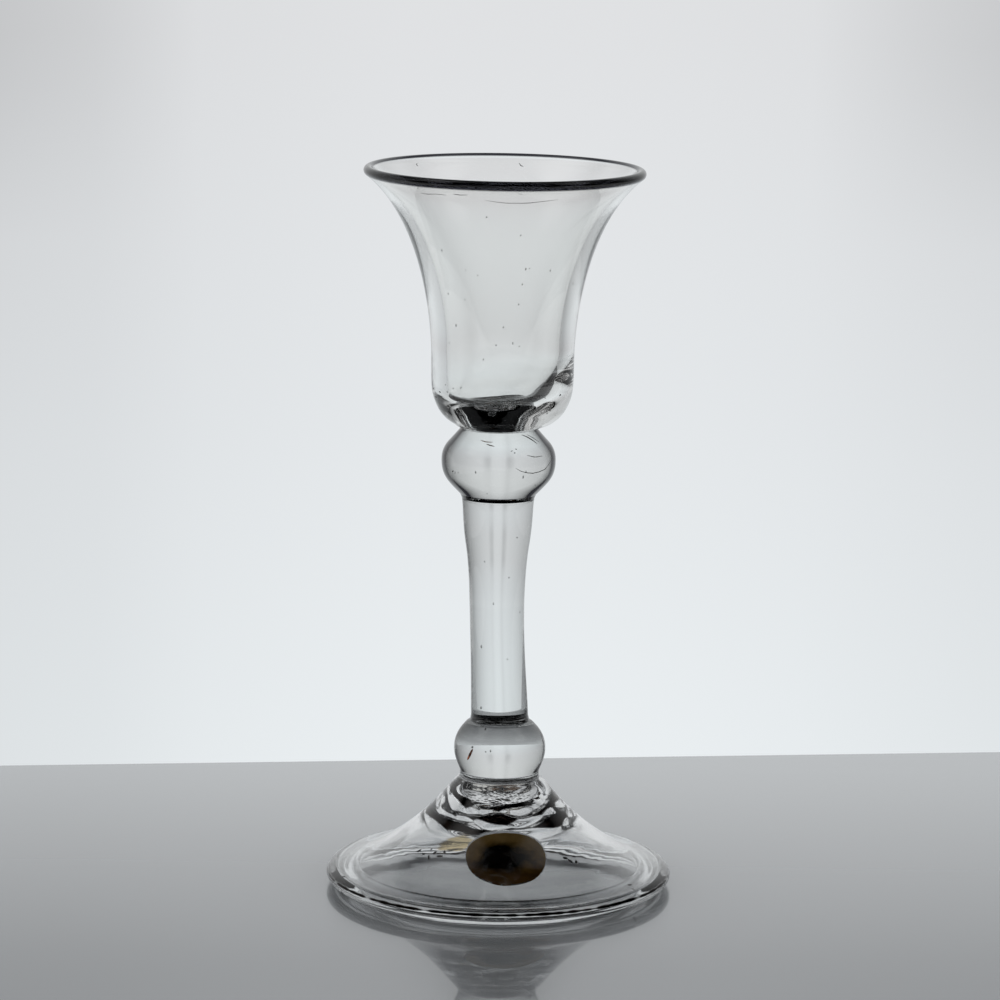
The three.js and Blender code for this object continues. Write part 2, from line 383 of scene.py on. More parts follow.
def onlyInner(tree, value):
    # keeps a value where light meets the surface from inside the glass
    return maths(tree, "MULTIPLY", value, addNode(tree, "NewGeometry").outputs["Backfacing"])


def onlyOuter(tree, value):
    # keeps a value on the outer side of the glass
    outer = maths(tree, "SUBTRACT", 1, addNode(tree, "NewGeometry").outputs["Backfacing"])
    return maths(tree, "MULTIPLY", value, outer)


def newMaterial(name, look):
    # a Principled material with the values of look; gives the material, its tree and its inputs
    material = bpy.data.materials.new(name)
    material.use_nodes = True
    inputs = inputsOf(material)
    for socket, value in look.items():
        inputs[socket].default_value = value
    return material, material.node_tree, inputs


def inputsOf(material):
    return material.node_tree.nodes["Principled BSDF"].inputs


def newGroup(name, wanted, result):
    # a node group; gives the group, the sockets that it is given and the one that it gives out
    group = bpy.data.node_groups.new(name, "ShaderNodeTree")
    for label, kind in wanted.items():
        group.interface.new_socket(label, in_out="INPUT", socket_type="NodeSocket" + kind)
    group.interface.new_socket(result, in_out="OUTPUT", socket_type="NodeSocketFloat")
    entry, way = group.nodes.new("NodeGroupInput"), group.nodes.new("NodeGroupOutput")
    return group, entry.outputs, way.inputs[result]


# Glass

glassIndex = 1.53
# painted shade tones: black for the lip and the knops' edges, and dark tones for the joints and the edges
# of bowl and stem
blackShade = (0.002, 0.002, 0.003)
seamShadeTone = (0.002, 0.002, 0.002)
edgeShadeTone = (0.004, 0.005, 0.008)
# bands of painted shade round the joints of the stem
seamBands = [  # height of the middle and half the width
    (knopTop - 0.72 * mm, 1.0 * mm), (stemTop + 1.0 * mm, 0.85 * mm), (neckHeight - 0.15 * mm, 0.22 * mm),
]
seamSoftness = 0.06 * mm
# tones painted on the foot: the sticker's refraction in amber, black shade on the folds, and thin dark
# marks outside
footShadeAndMarks = {
    "amberMark": (0.32, 0.225, 0.09),
    "outerMark": (0.008, 0.005, 0.004),
    "darkFold": (0.012, 0.008, 0.006),
}
bowlTints = [
    (94, (0.93, 0.94, 0.935)), (112, (0.955, 0.955, 0.945)), (128, (0.985, 0.985, 0.975)),
    (140, (0.998, 0.998, 0.993)),
]
scarStreaks = [(0.46, (0.03, 0.018, 0.012)), (0.56, (0.88, 0.84, 0.76))]
scarDirt = {"scale": 260, "detail": 3}
stoneLook = {"grain": 4000, "shade": 0.3}
glassKinds = {  # tint, and how its cords are stretched, how fine and how deep they are
    "bowlGlass": ((0.955, 0.955, 0.945), (1, 1, 0.35), 120, 0.012 * mm),
    "stemGlass": ((0.90, 0.92, 0.915), (1, 1, 0.15), 220, 0.010 * mm),
    "knopGlass": ((0.90, 0.92, 0.915), (1, 1, 0.15), 220, 0.010 * mm),
    "footGlass": ((0.95, 0.96, 0.965), (0.6, 0.6, 2.5), 260, 0.020 * mm),
    "scarGlass": ((0.80, 0.72, 0.62), (1, 1, 1), 350, 0.060 * mm),
}


def makeCordGroup():
    # cords and ripples in the glass: slow noise on stretched coordinates, given out as a height
    wanted = {"Vector": "Vector", "Stretch": "Vector", "Scale": "Float"}
    group, given, height = newGroup("glassCords", wanted, "Height")
    stretched = addNode(group, "Mapping", {"Vector": given["Vector"], "Scale": given["Stretch"]})
    feed(group, height, noise(group, stretched.outputs["Vector"], given["Scale"], 1.5))
    return group


def makeSeamGroup():
    # painted shade: where two gathers meet, light from inside is lost in the crease, so black is painted in
    # bands of height: a mask that is 1 in these bands
    group, given, out = newGroup("paintedSeamShade", {"Vector": "Vector"}, "Mask")
    height = axisOf(group, given["Vector"], "Z")
    mask = None
    for level, halfWidth in seamBands:
        away = maths(group, "ABSOLUTE", maths(group, "SUBTRACT", height, level))
        band = spread(group, away, halfWidth + seamSoftness, halfWidth - seamSoftness)
        mask = band if mask is None else maths(group, "MAXIMUM", mask, band)
    feed(group, out, mask)
    return group


def makeGlass(name, tint, stretchBy, scale, depth):
    look = {"Base Color": (*tint, 1), "Roughness": 0.0, "IOR": glassIndex, "Transmission Weight": 1.0}
    material, tree, inputs = newMaterial(name, look)
    given = {"Vector": objectPoint(tree), "Stretch": stretchBy, "Scale": scale}
    cords = addNode(tree, "Group", given, node_tree=cordGroup).outputs["Height"]
    feed(tree, inputs["Normal"], bumped(tree, cords, depth))
    return material


def blendOver(material, amount, tone):
    # lays a tone over the tint that the glass has so far
    tree = material.node_tree
    tint = inputsOf(material)["Base Color"]
    under = tint.links[0].from_socket if tint.is_linked else tint.default_value[:]
    feed(tree, tint, mixTones(tree, "MIX", amount, under, (*tone, 1)))


def shadeEdges(material, low, high, tone):
    # painted shade: light is lost where solid glass turns away, so a dark tone is painted that grows from a
    # low to a high facing value
    tree = material.node_tree
    turned = addNode(tree, "LayerWeight").outputs["Facing"]
    blendOver(material, onlyOuter(tree, spread(tree, turned, low, high)), tone)


def paintSeamShade(material):
    # painted shade at the joints, on inner hits: metallic black lets nothing through and mirrors nothing
    tree = material.node_tree
    seams = addNode(tree, "Group", {"Vector": objectPoint(tree)}, node_tree=seamGroup).outputs["Mask"]
    lost = onlyInner(tree, seams)
    blendOver(material, lost, seamShadeTone)
    feed(tree, inputsOf(material)["Metallic"], lost)


def blackenLip(material):
    # painted shade: the rounded lip bends light away from the viewer and looks black, so black is painted
    # on it by a mask stored on its points
    tree = material.node_tree
    blendOver(material, onlyOuter(tree, storedMark(tree, "lipShade")), blackShade)


def deepenTint(material, stops):
    # thicker glass lower down is a little darker: a tint that varies with height in mm
    tree = material.node_tree
    low, high = stops[0][0], stops[-1][0]
    share = spread(tree, axisOf(tree, objectPoint(tree), "Z"), low * mm, high * mm)
    tint = toneRamp(tree, share, [((height - low) / (high - low), tone) for height, tone in stops])
    feed(tree, inputsOf(material)["Base Color"], tint)


def paintFootShadeAndMarks(material):
    # marks on the foot: on the underside, seen from inside the glass, an amber patch that is a painted
    # refraction of the sticker and painted shade on the folds; thin dark marks outside; where the sticker
    # is glued on, the underside lets it show without a reflection
    tree = material.node_tree
    inputs = inputsOf(material)
    inner, outer = ("amberMark", "darkFold", "stickerMark"), ("outerMark", "rimLine")
    marks = {name: onlyInner(tree, storedMark(tree, name)) for name in inner}
    marks |= {name: onlyOuter(tree, storedMark(tree, name)) for name in outer}
    for name, tone in footShadeAndMarks.items():
        blendOver(material, marks[name], tone)
    feed(tree, inputs["Metallic"], maths(tree, "MAXIMUM", marks["darkFold"], marks["rimLine"]))
    feed(tree, inputs["Alpha"], maths(tree, "SUBTRACT", 1, marks["stickerMark"]))


def mottleScar(material):
    # rough broken glass full of dirt: dark streaks between clear patches
    tree = material.node_tree
    tint = toneRamp(tree, noise(tree, objectPoint(tree), **scarDirt), scarStreaks)
    feed(tree, inputsOf(material)["Base Color"], tint)


def makeStone(name, tone, roughness):
    # an opaque speck in the glass, mottled by fine noise
    material, tree, inputs = newMaterial(name, {"Roughness": roughness})
    dim = tuple(part * stoneLook["shade"] for part in tone)
    grain = noise(tree, objectPoint(tree), stoneLook["grain"])
    feed(tree, inputs["Base Color"], toneRamp(tree, grain, [(0, dim), (1, tone)]))
    return material


cordGroup = makeCordGroup()
seamGroup = makeSeamGroup()
fusedJoint = newMaterial("fusedJoint", {"Alpha": 0.0, "Base Color": (1, 1, 1, 1)})[0]  # lets all through
glass = {name: makeGlass(name, *kind) for name, kind in glassKinds.items()}
bowlGlass, stemGlass, knopGlass, footGlass, scarGlass = glass.values()
deepenTint(bowlGlass, bowlTints)
shadeEdges(bowlGlass, 0.80, 0.97, edgeShadeTone)
blackenLip(bowlGlass)
paintSeamShade(stemGlass)
shadeEdges(stemGlass, 0.62, 0.92, edgeShadeTone)
paintSeamShade(knopGlass)
shadeEdges(knopGlass, 0.40, 0.62, blackShade)
paintFootShadeAndMarks(footGlass)
mottleScar(scarGlass)
darkStone = makeStone("darkStone", (0.02, 0.014, 0.01), 0.4)
brownStone = makeStone("brownStone", (0.22, 0.13, 0.06), 0.5)
rustStone = makeStone("rustStone", (0.55, 0.16, 0.06), 0.5)


# Foot

footShape = {
    "neckRadius": 7.67 * mm,
    "filletRadius": 8.45 * mm,
    "filletDrop": 1.05 * mm,
    "coneRadius": 13.05 * mm,
    "coneHeight": 15.5 * mm,
    "edgeThickness": 4 * mm,
    "bellyHeight": 2.3 * mm,
    "shoulderInset": 2.1 * mm,
    "ringRadius": 30.6 * mm,
    "ringWidth": 1.2 * mm,
    "foldWidth": 6.7 * mm,
    "foldGap": 0.3 * mm,
    "foldRoof": 2.5 * mm,
    "bendInset": 2.3 * mm,
    "foldSlope": 14,
    "tipRadius": 0.75 * mm,
    "crown": 5.8 * mm,
    "scarRadius": 5.6 * mm,
}


def undersideOutline():
    s = footShape
    seat = (s["scarRadius"], footTop - s["crown"])
    bend = (footRadius - s["bendInset"], s["foldRoof"])
    return stretch(seat, -22, 0.32, bend, -s["foldSlope"], 0.42, 150)


def footOutline():
    s = footShape
    underside = undersideOutline()
    seat, bend = underside[0], underside[-1]
    bendFloor = (bend[0], bend[1] - s["foldGap"])
    tipStart = footRadius - s["foldWidth"] + s["tipRadius"]
    rise = (bend[0] - tipStart) * math.tan(math.radians(s["foldSlope"]))
    tipTop = np.array((tipStart, bendFloor[1] + rise))
    tip = arc(tipTop - heading(90 - s["foldSlope"]) * s["tipRadius"], s["tipRadius"],
              90 - s["foldSlope"], 270 - s["foldSlope"], 14)
    ringInner = (s["ringRadius"] - s["ringWidth"], 0.0)
    ringOuter = (s["ringRadius"], 0.0)
    belly = (footRadius, s["bellyHeight"])
    shoulder = (footRadius - s["shoulderInset"], s["edgeThickness"])
    cone = (s["coneRadius"], s["coneHeight"])
    fillet = (s["filletRadius"], footTop - s["filletDrop"])
    neck = (s["neckRadius"], footTop)
    return outline(
        underside,
        straight(bend, bendFloor, 1),
        straight(bendFloor, tipTop, 6),
        tip,
        stretch(tip[-1], -s["foldSlope"], 0.3, ringInner, -30, 0.3, 8),
        straight(ringInner, ringOuter, 2),
        stretch(ringOuter, 20, 0.3, belly, 90, 0.35, 16),
        stretch(belly, 90, 0.25, shoulder, 166, 0.5, 24),
        stretch(shoulder, 166, 0.36, cone, 134, 0.3, 46),
        stretch(cone, 134, 0.3, fillet, 131, 0.3, 20),
        stretch(fillet, 131, 0.45, neck, 91, 0.45, 12),
    )


footMarks = {
    "pitch": 1.7 * mm,
    "ridge": 0.0015 * mm,
    "swirlPitch": 6.5 * mm,
    "swirl": 0.012 * mm,
    "foldFrom": 5.7 * mm,
    "foldFull": 7.4 * mm,
    "foldFade": 11.0 * mm,
    "foldTo": 15.5 * mm,
    "foldDepth": 0.42 * mm,
    "fadeIn": (6.2 * mm, 9.5 * mm),
    "fadeOut": (29 * mm, 32 * mm),
    "fadeFoot": (1.2 * mm, 4 * mm),
    "fadeNeck": (18.6 * mm, 20.6 * mm),
}


def footRelief(radius, height, turn):
    # tool marks: shallow rings and slow swirls on both faces, fading out at the neck, the seat and the
    # resting ring, and the folds under the crown
    f = footMarks
    fade = smoothStep(radius, *f["fadeIn"]) * (1 - smoothStep(radius, *f["fadeOut"]))
    fade = fade * smoothStep(height, *f["fadeFoot"]) * (1 - smoothStep(height, *f["fadeNeck"]))
    fine = np.sin(2 * math.pi * radius / f["pitch"] + 0.7 * np.sin(turn + 1.1))
    broad = np.sin(2 * math.pi * radius / f["swirlPitch"] - turn + 0.8 * np.sin(2 * turn))
    lift = fade * (f["ridge"] * fine * (0.6 + 0.4 * np.sin(3 * turn + radius * 210)) + f["swirl"] * broad)
    return np.stack([0 * lift, 0 * lift, lift + f["foldDepth"] * crownFolds(radius, height, turn)[0]], -1)


def crownFolds(radius, height, turn):
    # folds of the twisted gather under the crown: spiral waves bent by slower ones, on the underside alone;
    # gives how far they rise, where shade is painted on them, and 1 on the underside
    f = footMarks
    line = undersideOutline()
    under = np.abs(height - np.interp(radius, line[:, 0], line[:, 1])) < onLine
    q = radius / mm
    reach = under * (1 - smoothStep(radius, f["foldFade"], f["foldTo"]))
    crown = reach * smoothStep(radius, f["foldFrom"], f["foldFull"])
    arms = np.sin(3 * turn + 0.75 * q + 1.3 * np.sin(2 * turn - 0.4 * q))
    rings = np.sin(2.3 * q + 1.6 * np.sin(turn + 0.5) + 0.8 * np.sin(4 * turn + q))
    cuts = np.abs(np.sin(5 * turn - 1.2 * q + 1.1 * np.sin(3 * turn))) ** 0.7
    strokes = smoothStep(0.5 * arms + 0.6 * rings - 0.4 * cuts, -0.15, 0.05)
    dark = strokes * smoothStep(reach, 0.05, 0.4)
    return crown * (0.55 * arms + 0.45 * rings + 0.4 * cuts - 0.25), dark, under


stickerShape = {
    "width": 15.3 * mm,
    "length": 11.2 * mm,
    "radius": 17.5 * mm,
    "turn": -85,
    "clearance": 0.3 * mm,
    "thickness": 0.22 * mm,
    "ripple": 0.03 * mm,
    "rings": 40,
}

footPatches = {
    # the amber patch is where the sticker's refraction is painted
    "amber": ((-7.7 * mm, -13.0 * mm), (3.9 * mm, 1.9 * mm), -12),
    "lens": ((-21 * mm, -4.6 * mm), (4.6 * mm, 3.4 * mm), 50),
    "lensDepth": 0.45,
    "rimHeight": 2.75 * mm,
    "rimWidth": 0.27 * mm,
    "rimFrom": 32 * mm,
}


def ellipseMark(x, y, centre, size, lean):
    # 1 inside a leaning ellipse, with a wavering edge
    tip = math.radians(lean)
    across = ((x - centre[0]) * math.cos(tip) + (y - centre[1]) * math.sin(tip)) / size[0]
    along = ((y - centre[1]) * math.cos(tip) - (x - centre[0]) * math.sin(tip)) / size[1]
    away = np.sqrt(across**2 + along**2) + 0.12 * np.sin(5 * across + 3 * along) * np.sin(7 * along + 1)
    return 1 - smoothStep(away, 0.75, 1.1)


def rimMark(radius, height, turn):
    # a thin line round the edge, broken by quick waves
    p = footPatches
    broken = 0.8 + 0.3 * np.sin(9 * turn + 1) * np.sin(23 * turn)
    broken = broken + 0.2 * np.sin(61 * turn + 2 * np.sin(5 * turn))
    line = np.exp(-((height - p["rimHeight"]) / p["rimWidth"]) ** 2) * (radius > p["rimFrom"]) * broken
    return smoothStep(line, 0.2, 0.55)


def gluedMark(radius, turn):
    # 1 where the sticker lies: an ellipse along and across the underside
    p = stickerShape
    swing = (turn - math.radians(p["turn"]) + math.pi) % (2 * math.pi) - math.pi
    away = (2 * swing * radius / p["width"]) ** 2 + (2 * (radius - p["radius"]) / p["length"]) ** 2
    return 1 - smoothStep(away, 1.0, 1.08)


def storeMark(mesh, name, values):
    # one value at each point of the surface, and 0 on the poles and the flaws inside
    stored = np.zeros(len(mesh.vertices), np.float32)
    stored[:values.size] = values.ravel()
    mesh.attributes.new(name, "FLOAT", "POINT").data.foreach_set("value", stored)


def markFoot(mesh, profile, columns):
    # stores the marks that the foot's material shows, with the painted fold shade and the painted
    # refraction of the sticker
    p = footPatches
    radius, height, turn = carriedRound(profile, columns)
    x, y = radius * np.cos(turn), radius * np.sin(turn)
    dark, under = crownFolds(radius, height, turn)[1:]
    rim = rimMark(radius, height, turn)
    lens = (1 - under) * ellipseMark(x, y, *p["lens"]) * p["lensDepth"]
    storeMark(mesh, "amberMark", under * ellipseMark(x, y, *p["amber"]))
    storeMark(mesh, "outerMark", np.maximum(lens, rim))
    storeMark(mesh, "darkFold", dark)
    storeMark(mesh, "rimLine", rim)
    storeMark(mesh, "stickerMark", under * gluedMark(radius, turn))


# Stem pieces: one outline from the foot's neck to the bowl, eased at its creases and cut at the joints

lineStep = 0.025 * mm
creaseEase = 0.05 * mm

knopShape = {
    "collarRadius": 7.72 * mm,
    "collarHeight": 0.9 * mm,
    "baseRadius": 8.90 * mm,
    "baseBelly": 5.2 * mm,
    "baseShoulderRadius": 7.36 * mm,
    "baseShoulderDrop": 1.35 * mm,
    "creaseRadius": 5.79 * mm,
    "creaseStep": (6.38 * mm, 0.33 * mm),
    "stemFootRadius": 5.57 * mm,
    "stemFootRise": 1.1 * mm,
    "stemWaist": 5.28 * mm,
    "waistHeight": 16 * mm,
    "flareRadius": 6.22 * mm,
    "flareDrop": 8.9 * mm,
    "headRadius": 6.9 * mm,
    "headDrop": 1.6 * mm,
    "stemHead": 7.13 * mm,
    "headRise": 0.35 * mm,
    "upperCreaseRadius": 7.49 * mm,
    "upperCreaseRise": 1.1 * mm,
    "upperRadius": 11.08 * mm,
    "upperBelly": 7.6 * mm,
    "upperShoulderRadius": 9.8 * mm,
    "upperShoulderDrop": 2.83 * mm,
    "neckRadius": 7.3 * mm,
}

bowlShape = {
    "baseRadius": 10.5 * mm,
    "baseRise": 1.6 * mm,
    "shoulderRadius": 12.42 * mm,
    "shoulderHeight": 3.85 * mm,
    "waistRadius": 13.76 * mm,
    "waistHeight": 13.6 * mm,
    "lipRadius": 26.85 * mm,
    "lipThickness": 1.85 * mm,
    "lipSlope": 38,
    "wall": 2.8 * mm,
    "cavityWaist": 16 * mm,
    "cavityCornerRadius": 9.75 * mm,
    "cavityCorner": 7.7 * mm,
    "floorEdgeRadius": 7.6 * mm,
    "floorEdge": 5.5 * mm,
    "floor": 3.2 * mm,
    "floorShift": -1.3 * mm,
    "axisGap": 0.25 * mm,
    "cavityEase": 0.25 * mm,
    "cavityStep": 0.3 * mm,
    "outerStep": 0.12 * mm,
    "outerJoin": 0.3 * mm,
    "height": 49.9 * mm,
}


def stemOutline():
    k = knopShape
    b = bowlShape
    footNeck = (footShape["neckRadius"], footTop)
    collar = (k["collarRadius"], footTop + k["collarHeight"])
    baseBelly = (k["baseRadius"], footTop + k["baseBelly"])
    baseShoulder = (k["baseShoulderRadius"], knopTop - k["baseShoulderDrop"])
    crease = (k["creaseRadius"], knopTop)
    creaseStep = (k["creaseStep"][0], knopTop - k["creaseStep"][1])
    stemFoot = (k["stemFootRadius"], knopTop + k["stemFootRise"])
    waist = (k["stemWaist"], knopTop + k["waistHeight"])
    flare = (k["flareRadius"], stemTop - k["flareDrop"])
    head = (k["headRadius"], stemTop - k["headDrop"])
    stemHead = (k["stemHead"], stemTop + k["headRise"])
    upperCrease = (k["upperCreaseRadius"], stemTop + k["upperCreaseRise"])
    upperBelly = (k["upperRadius"], stemTop + k["upperBelly"])
    upperShoulder = (k["upperShoulderRadius"], neckHeight - k["upperShoulderDrop"])
    neck = (k["neckRadius"], neckHeight)
    bowlBase = (b["baseRadius"], neckHeight + b["baseRise"])
    shoulder = (b["shoulderRadius"], neckHeight + b["shoulderHeight"])
    whole = outline(
        footOutline()[-60:],  # the upper cone, so that the crease at the neck is eased too
        stretch(footNeck, 91, 0.3, collar, 70, 0.3, 20),
        stretch(collar, 69, 0.3, baseBelly, 90, 0.4, 60),
        stretch(baseBelly, 90, 0.40, baseShoulder, 130, 0.3, 60),
        stretch(baseShoulder, 132, 0.3, creaseStep, 142, 0.3, 30),
        straight(creaseStep, crease, 10),
        straight(crease, stemFoot, 20),
        stretch(stemFoot, 91, 0.3, waist, 90, 0.4, 80),
        stretch(waist, 90, 0.45, flare, 81, 0.25, 80),
        stretch(flare, 81, 0.35, head, 87, 0.35, 30),
        stretch(head, 87, 0.3, stemHead, 78, 0.3, 30),
        straight(stemHead, upperCrease, 10),
        stretch(upperCrease, 46, 0.45, upperBelly, 90, 0.42, 60),
        stretch(upperBelly, 90, 0.4, upperShoulder, 131, 0.35, 50),
        stretch(upperShoulder, 133, 0.3, neck, 131, 0.3, 40),
        stretch(neck, 14, 0.3, bowlBase, 37, 0.3, 40),
        stretch(bowlBase, 38, 0.32, shoulder, 63, 0.32, 40),
    )
    return eased(whole, creaseEase, lineStep)


def cutBetween(points, low, high, spacing):
    # the stretch of an outline between two heights, with a point exactly at each and one close to it
    close, margin = 0.02 * mm, 0.03 * mm
    inside = points[(points[:, 1] > low + margin) & (points[:, 1] < high - margin)]
    every = max(1, int(spacing / lineStep))
    heights = np.array([low, low + close, high - close, high])
    ends = np.stack([np.interp(heights, points[:, 1], points[:, 0]), heights], 1)
    return np.concatenate([ends[:2], inside[::every], ends[2:]])


def bowlOutline(line):
    # up the outside from the neck, over the lip and down the cavity to the middle of its floor
    b = bowlShape
    lipRound = b["lipThickness"] / 2
    lipCentre = (b["lipRadius"] - lipRound, neckHeight + b["height"] - lipRound)
    shoulder = (b["shoulderRadius"], neckHeight + b["shoulderHeight"])
    waist = (b["waistRadius"], neckHeight + b["waistHeight"])
    lip = arc(lipCentre, lipRound, b["lipSlope"] - 90, b["lipSlope"] + 90, 24)
    cavityWaist = (b["waistRadius"] - b["wall"], neckHeight + b["cavityWaist"])
    corner = (b["cavityCornerRadius"], neckHeight + b["cavityCorner"])
    floorEdge = (b["floorEdgeRadius"], neckHeight + b["floorEdge"])
    middle = (b["axisGap"], neckHeight + b["floor"])
    lower = cutBetween(line, neckHeight, shoulder[1] - b["outerJoin"], b["outerStep"])
    upper = outline(
        stretch(shoulder, 63, 0.3, waist, 90, 0.6, 40),
        stretch(waist, 89, 0.29, lip[0], b["lipSlope"], 0.33, 70),
        lip,
    )
    cavity = outline(
        stretch(lip[-1], b["lipSlope"] + 185, 0.38, cavityWaist, 269, 0.25, 90),
        stretch(cavityWaist, 269, 0.5, corner, 252, 0.3, 60),
        stretch(corner, 250, 0.4, floorEdge, 212, 0.35, 30),
        stretch(floorEdge, 205, 0.4, middle, 180, 0.4, 60),
    )
    return outline(lower, upper, eased(cavity, b["cavityEase"], b["cavityStep"]))


def markLip(mesh, profile, columns):
    # 1 on the rounding of the lip, from the outer wall over the top to the inner one, where black shade is
    # painted
    b = bowlShape
    lipRound = b["lipThickness"] / 2
    out = profile[:, 0] - b["lipRadius"] + lipRound
    rise = profile[:, 1] - neckHeight - b["height"] + lipRound
    shade = np.hypot(out, rise) < lipRound + onLine
    storeMark(mesh, "lipShade", np.repeat(shade[:, None], columns, 1))


def bowlRelief(radius, height, turn):
    # the cavity's floor sits a little to one side: the points inside move over, more towards the bottom
    b = bowlShape
    inside = np.zeros(radius.shape)
    inside[np.argmax(height[:, 0]):] = 1
    low = 1 - smoothStep(height, neckHeight + b["floor"], neckHeight + b["cavityWaist"])
    aside = b["floorShift"] * inside * low**1.6
    return np.stack([aside, 0 * aside, 0 * aside], -1)


# Flaws seen in the glass, in mm: seeds and stones as (x, y, z, size), hairs as a thickness and the points
# of a line

footFlaws = {
    "stones": [
        (-15.1, -12.3, 9.1, 0.48), (-14.2, -13.7, 8.9, 0.35), (-13.2, -15.1, 8.6, 0.53),
        (-12.1, -14.7, 9.4, 0.4), (-11.1, -15.9, 9.1, 0.57), (-10.2, -15.4, 9.8, 0.35),
        (-12.7, -13.5, 9.8, 0.31), (12.7, -15.1, 8.8, 0.44), (13.7, -15.4, 8.3, 0.57),
        (14.8, -14.9, 8.0, 0.4), (14.3, -13.7, 8.8, 0.33), (-29.6, -11.2, 3.3, 0.4),
        (-29.1, -13.4, 3.1, 0.33), (25.1, -16.2, 3.8, 0.44), (25.7, -17.7, 3.4, 0.31),
    ],
}
baseFlaws = {
    "seeds": [
        (-2.6, -7.7, 27.9, 0.16), (-1.7, -7.9, 28.1, 0.16), (-2.7, -5.3, 31.6, 0.16),
        (-5.1, -6.3, 28.4, 0.24),
    ],
    "rust": (-5.6, -6.4, 27.0, 1.0),
    "rustStretch": (0.28, 0.2, 1.3),
    "rustLean": 28,
}
stemFlaws = {
    "seeds": [
        (2.7, -4.8, 69.4, 0.16), (-3.2, -4.6, 64.6, 0.13), (-1.5, -4.7, 56.4, 0.13),
        (1.3, -4.5, 61.5, 0.16), (3.3, -2.3, 54.3, 0.13), (-3.6, -3.5, 47.7, 0.17),
        (1.2, -4.3, 45.4, 0.13), (-3.5, -3.5, 35.6, 0.2),
    ],
}
upperFlaws = {
    "seeds": [
        (2.1, -9.1, 86.4, 0.16), (-5.1, -9.5, 82.8, 0.17), (-8.9, -6.5, 82.2, 0.13),
        (-8.3, -7.1, 82.3, 0.13), (4.2, -9.1, 83.0, 0.13), (3.7, -9.2, 82.0, 0.16),
        (-2.9, -7.8, 78.6, 0.13),
    ],
    "stones": [
        (1.6, -9.5, 86.9, 0.18), (2.4, -9.0, 87.2, 0.14), (6.1, -7.4, 80.1, 0.14),
        (-9.5, -6.6, 82.4, 0.18),
    ],
    "hairs": [
        (0.07, [(4.5, -9.3, 86.1), (6.0, -8.3, 85.6), (7.5, -6.9, 85.6)]),
        (0.08, [
            (2.4, -10.5, 83.8), (3.3, -10.1, 83.2), (4.5, -9.6, 82.8), (5.7, -8.9, 82.6),
            (6.8, -7.9, 82.7), (8.0, -6.6, 83.0), (8.7, -5.4, 83.8), (9.3, -4.0, 84.7),
        ]),
        (0.1, [(3.4, -6.2, 89.5), (4.4, -6.0, 89.1), (5.4, -5.8, 88.5), (6.4, -5.6, 87.7)]),
        (0.09, [(4.4, -5.4, 89.4), (5.6, -5.0, 88.7), (6.8, -4.6, 87.8)]),
    ],
    "stains": [
        (0.09, [(-4.3, -7.7, 88.6), (-3.3, -8.3, 88.4), (-2.0, -8.5, 88.4)]),
        (0.11, [(-3.2, -8.5, 88.0), (-2.4, -8.8, 87.8), (-1.7, -9.1, 87.7)]),
    ],
}
bowlFlaws = {
    "seeds": [
        (-3.6, -20.4, 132.8, 0.17), (2.7, -18.4, 129.2, 0.13), (3.7, -15.5, 122.5, 0.14),
        (4.4, -15.3, 122.6, 0.13), (3.1, -14.8, 119.5, 0.13), (-10.5, -10.6, 117.0, 0.13),
        (-7.4, -12.7, 116.2, 0.13), (2.5, -14.0, 115.6, 0.13), (-9.0, -10.6, 111.0, 0.16),
        (-10.2, -8.9, 107.4, 0.13), (-1.6, -13.3, 107.7, 0.13), (1.5, -13.2, 108.1, 0.13),
        (2.7, -12.9, 107.5, 0.13), (-3.9, -12.7, 104.9, 0.13), (12.4, -7.9, 118.9, 0.13),
        (10.5, -7.9, 109.5, 0.13), (-0.3, -13.7, 111.2, 0.13), (8.2, -13.3, 122.0, 0.13),
        (-7.3, -14.3, 122.0, 0.12), (-5.1, -14.9, 121.1, 0.12), (-11.7, -12.7, 125.5, 0.14),
        (-9.4, -9.4, 98.8, 0.16), (8.0, -8.6, 94.3, 0.16), (6.9, -9.8, 94.7, 0.13),
    ],
    "stones": [
        (-13.3, -3.9, 97.9, 0.22), (-12.1, -6.7, 97.6, 0.18), (-12.9, -4.3, 96.3, 0.25),
        (10.6, -8.0, 97.5, 0.2), (7.7, -10.9, 97.4, 0.18), (8.7, -9.1, 94.8, 0.2),
        (-8.1, -11.2, 99.2, 0.2),
    ],
    "hairs": [
        (0.07, [
            (-15.8, -19.4, 136.8), (-14.5, -20.3, 136.7), (-12.8, -21.6, 136.9), (-11.1, -22.4, 136.8),
        ]),
        (0.08, [(-9.8, -23.4, 137.1), (-8.5, -23.7, 137.0), (-7.1, -24.2, 137.1)]),
        (0.06, [
            (-3.9, -23.9, 136.1), (-1.9, -23.8, 135.8), (0.1, -23.7, 135.6), (3.8, -23.4, 135.6),
            (7.6, -22.7, 136.0), (9.5, -22.1, 136.2),
        ]),
        (0.08, [(-17.3, 17.0, 138.5), (-17.5, 16.8, 138.2), (-17.1, 16.5, 138.0)]),
        (0.08, [(2.4, 23.6, 138.1), (2.8, 23.1, 137.6), (3.3, 23.0, 137.5)]),
    ],
}


# The glass pieces: steps round the axis, the spacing of points up a piece, and how the foot takes over the
# stem's eased outline near its neck

roundSteps = {"foot": 320, "stem": 256, "bowl": 248, "scar": 144, "sticker": 120}
jointShape = {"spacing": 0.1 * mm, "footOverlap": 1.2 * mm, "footCut": 1.25 * mm, "footReach": 3 * mm}


